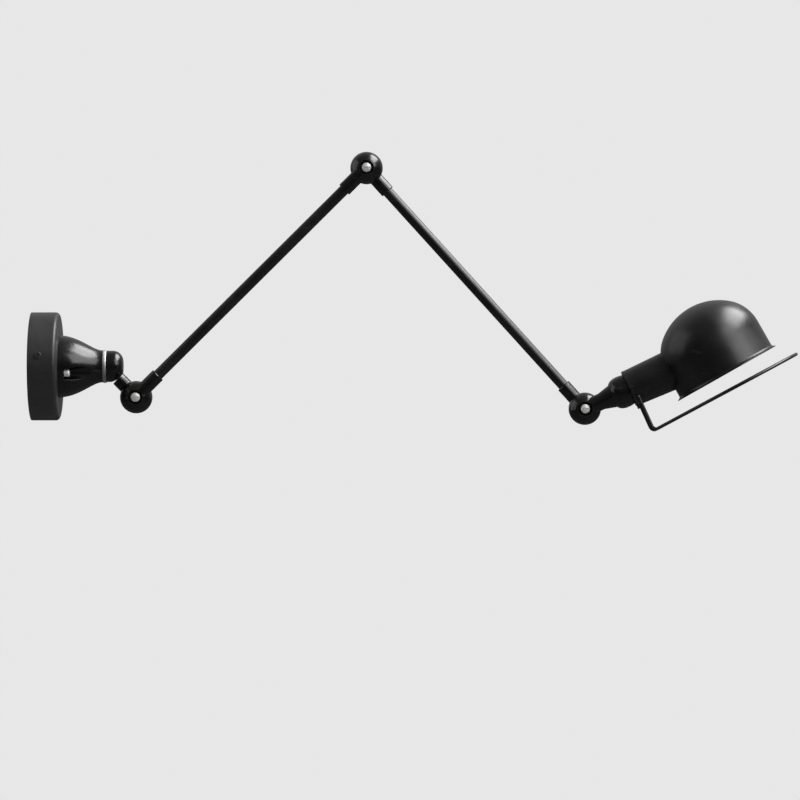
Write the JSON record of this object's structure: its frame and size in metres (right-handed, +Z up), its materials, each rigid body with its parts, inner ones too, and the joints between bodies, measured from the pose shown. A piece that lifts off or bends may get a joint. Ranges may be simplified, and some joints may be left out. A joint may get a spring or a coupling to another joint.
{
  "type": "articulating wall lamp",
  "caption": "Wall lamp with a round wall pan, a cast swivel bell, two tube arms on knuckle balls, and a tilting bowl shade with a wire handle.",
  "frame": {"origin": "middle of the wall plate's back face, on the wall", "axes": "+X leads out from the wall along the swivel's axis, +Z is up, and the bolt heads of the knuckles face -Y"},
  "size_m": [0.707, 0.1329, 0.2583],
  "materials": {
    "black_paint": "satin black stove enamel over steel and cast metal",
    "bright_nickel": "bright nickel plate",
    "zinc_steel": "zinc-plated steel",
    "brass": "plain brass",
    "phenolic": "brown phenolic board",
    "fibre": "red vulcanised fibre",
    "cable_jacket": "black cable jacket",
    "terminal_white": "white moulded terminal block",
    "bakelite": "black moulded lampholder",
    "opal_glass": "opal lamp glass",
    "aluminium_cap": "bare aluminium lamp cap"
  },
  "bodies": {
    "wall_base": {"wall_bracket": "zinc_steel", "wall_pan": "black_paint", "pan_side_screws": "black_paint", "terminal_block": "terminal_white", "terminal_screws": "brass", "earth_screw": "brass", "base_cable": "cable_jacket", "bell_housing": "black_paint", "bell_screws": "bright_nickel", "bell_nuts": "zinc_steel", "swivel_ring": "bright_nickel", "swivel_stop_pin": "zinc_steel"},
    "wall_swivel": {"spindle": "zinc_steel", "spindle_washer": "zinc_steel", "spindle_nut": "zinc_steel", "swivel_cap": "black_paint", "swivel_cable": "cable_jacket", "shoulder_back_half": "black_paint", "shoulder_contact_disc": "phenolic", "shoulder_contact_rings": "brass", "shoulder_bolt": "bright_nickel", "shoulder_spring_washer": "zinc_steel", "shoulder_nut": "bright_nickel"},
    "lower_arm": {"shoulder_front_half": "black_paint", "elbow_front_half": "black_paint", "lower_arm_friction_rings": "fibre", "shoulder_brush_disc": "phenolic", "elbow_brush_disc": "phenolic", "lower_arm_brush_pins": "brass", "lower_arm_tube": "black_paint", "lower_arm_cable": "cable_jacket"},
    "upper_arm": {"elbow_back_half": "black_paint", "wrist_back_half": "black_paint", "elbow_contact_disc": "phenolic", "wrist_contact_disc": "phenolic", "elbow_contact_rings": "brass", "wrist_contact_rings": "brass", "upper_arm_bolts": "bright_nickel", "upper_arm_spring_washers": "zinc_steel", "upper_arm_nuts": "bright_nickel", "upper_arm_tube": "black_paint", "upper_arm_cable": "cable_jacket"},
    "lamp_neck": {"wrist_front_half": "black_paint", "wrist_friction_ring": "fibre", "wrist_brush_disc": "phenolic", "wrist_brush_pins": "brass", "neck_nipple": "zinc_steel", "neck_cap": "black_paint", "neck_lock_nut": "zinc_steel", "neck_cable": "cable_jacket"},
    "lamp_head": {"holder_sleeve": "black_paint", "sleeve_clamp": "black_paint", "lampholder": "bakelite", "lampholder_contacts": "brass", "shade": "black_paint", "shade_ring": "bakelite", "wire_handle": "black_paint", "bulb_cap": "aluminium_cap", "bulb_glass": "opal_glass"}
  },
  "joints": [
    {"name": "base_swivel", "type": "hinge", "parent": "wall_base", "child": "wall_swivel", "pos_m": [0.0695, 0, 0], "axis": [1, 0, 0], "range_deg": [-165, 165]},
    {"name": "shoulder", "type": "hinge", "parent": "wall_swivel", "child": "lower_arm", "pos_m": [0.0972, -0.0075, -0.0285], "axis": [0, -1, 0], "range_deg": [-145, 50]},
    {"name": "elbow", "type": "hinge", "parent": "lower_arm", "child": "upper_arm", "pos_m": [0.30988, -0.0075, 0.18308], "axis": [0, 1, 0], "range_deg": [-92, 67]},
    {"name": "wrist", "type": "hinge", "parent": "upper_arm", "child": "lamp_neck", "pos_m": [0.5114, -0.0075, -0.03916], "axis": [0, -1, 0], "range_deg": [-185, 45]},
    {"name": "head_roll", "type": "hinge", "parent": "lamp_neck", "child": "lamp_head", "pos_m": [0.55244, -0.015, -0.02072], "axis": [0.9121, 0, 0.4099], "range_deg": [-150, 150]}
  ]
}
